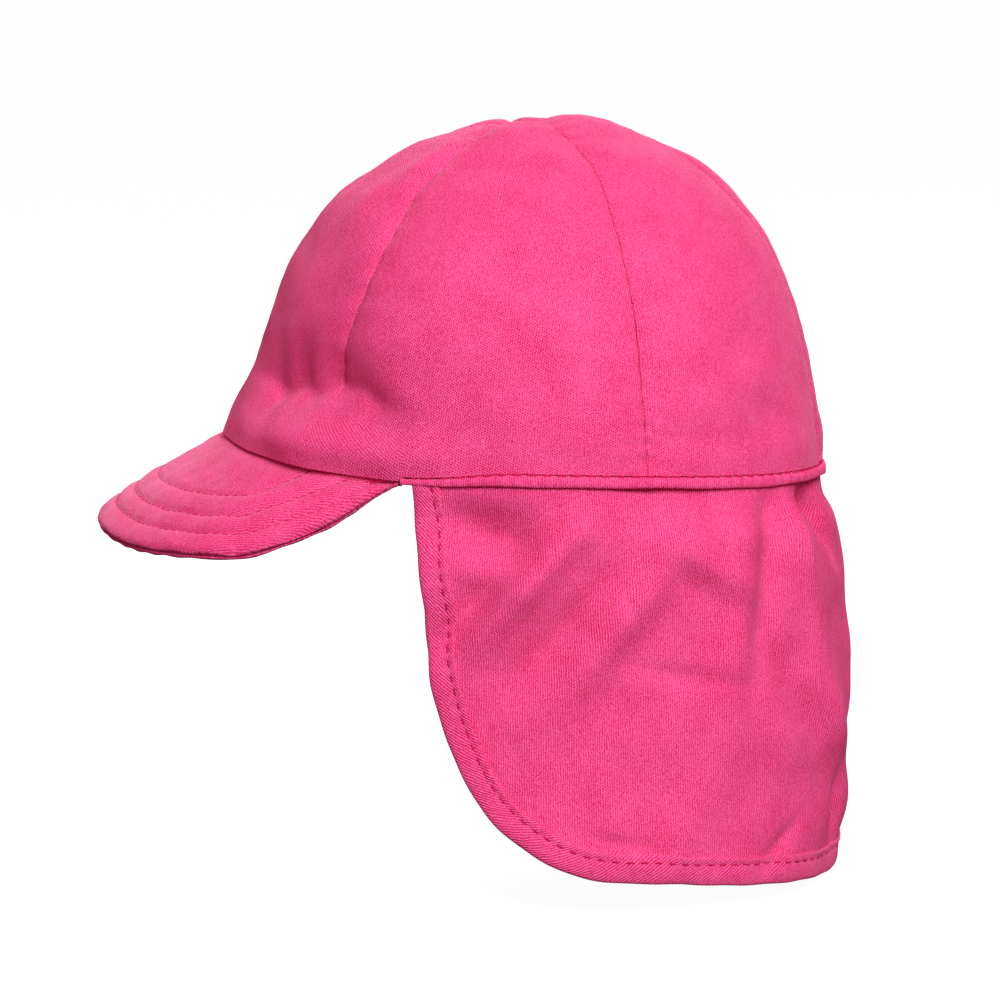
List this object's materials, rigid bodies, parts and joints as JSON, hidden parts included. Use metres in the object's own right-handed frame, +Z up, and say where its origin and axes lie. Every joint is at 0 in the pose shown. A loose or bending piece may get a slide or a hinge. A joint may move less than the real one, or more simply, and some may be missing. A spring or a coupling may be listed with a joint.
{
  "type": "legionnaire cap",
  "caption": "Small child's sun cap in soft cotton knit: panelled round crown, short quilted peak in front and a bound neck flap that hangs from the rim round the back.",
  "frame": {"origin": "centre of the head opening, level with the rim at the ears, where the cap sits on a head", "axes": "+Z up, -Y forward through the peak, +X towards the wearer's left"},
  "size_m": [0.1532, 0.2158, 0.2115],
  "materials": {
    "pink_knit": "brushed cotton knit",
    "binding_knit": "ribbed cotton knit strip"
  },
  "bodies": {
    "root": {"crown_panel_front_left": "pink_knit", "crown_panel_front_right": "pink_knit", "crown_panel_side_left": "pink_knit", "crown_panel_side_right": "pink_knit", "crown_panel_back_left": "pink_knit", "crown_panel_back_right": "pink_knit", "rim_hem": "pink_knit", "neck_flap": "pink_knit", "flap_binding": "binding_knit", "peak_top": "pink_knit", "peak_facing": "pink_knit"}
  },
  "joints": []
}
